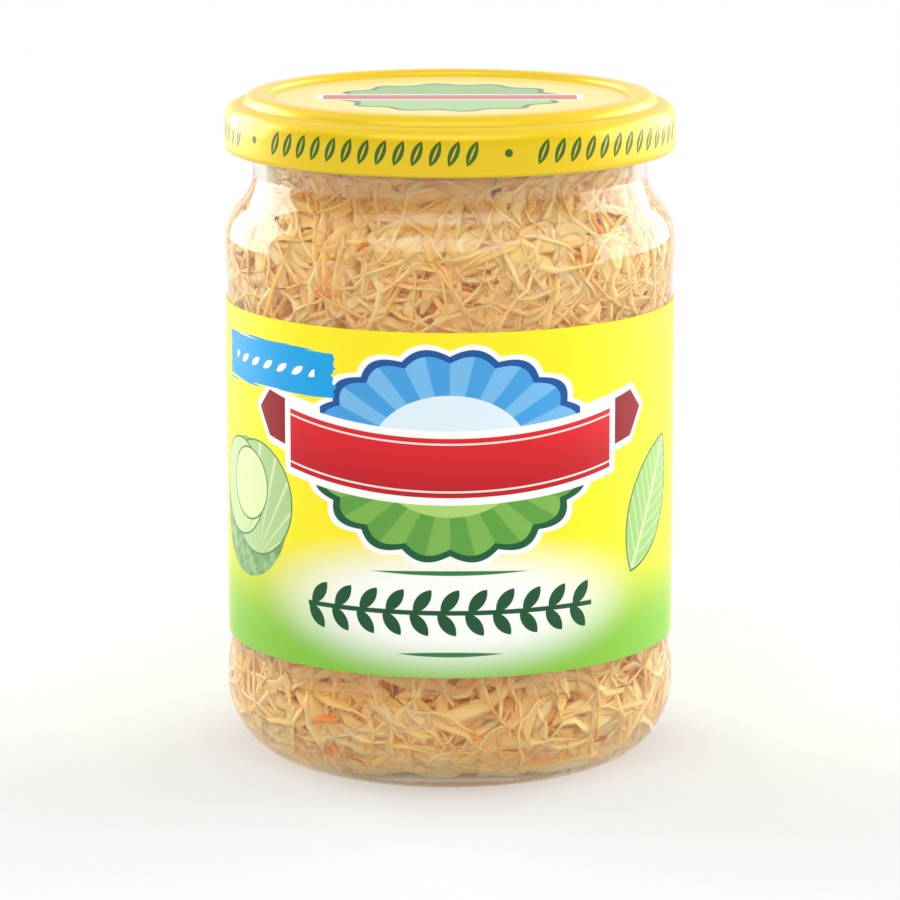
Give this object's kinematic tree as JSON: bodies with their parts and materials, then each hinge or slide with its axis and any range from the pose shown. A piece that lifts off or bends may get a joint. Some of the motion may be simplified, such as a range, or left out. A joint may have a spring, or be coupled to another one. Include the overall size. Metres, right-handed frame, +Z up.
{
  "type": "sauerkraut jar",
  "caption": "Round glass jar of sauerkraut in brine, with a steel twist-off cap, a necked shoulder and a full-wrap paper label.",
  "frame": {"origin": "centre of the ring that the jar stands on, at the bottom of the glass", "axes": "+Z up along the jar's axis, through the cap; -Y towards the middle of the label's front; +X to the right when the front is faced"},
  "size_m": [0.0872, 0.0872, 0.1289],
  "materials": {
    "glass": "clear flint glass, polished by the mould, faintly green at thick edges",
    "cap_steel": "glossy yellow lacquer with a printed band",
    "label_paper": "coated paper, satin print",
    "brine": "clear straw-coloured liquid",
    "cabbage": "wet translucent shreds"
  },
  "bodies": {
    "root": {"jar_glass": "glass", "cap": "cap_steel", "label": "label_paper", "brine": "brine", "sauerkraut": "cabbage"}
  },
  "joints": []
}
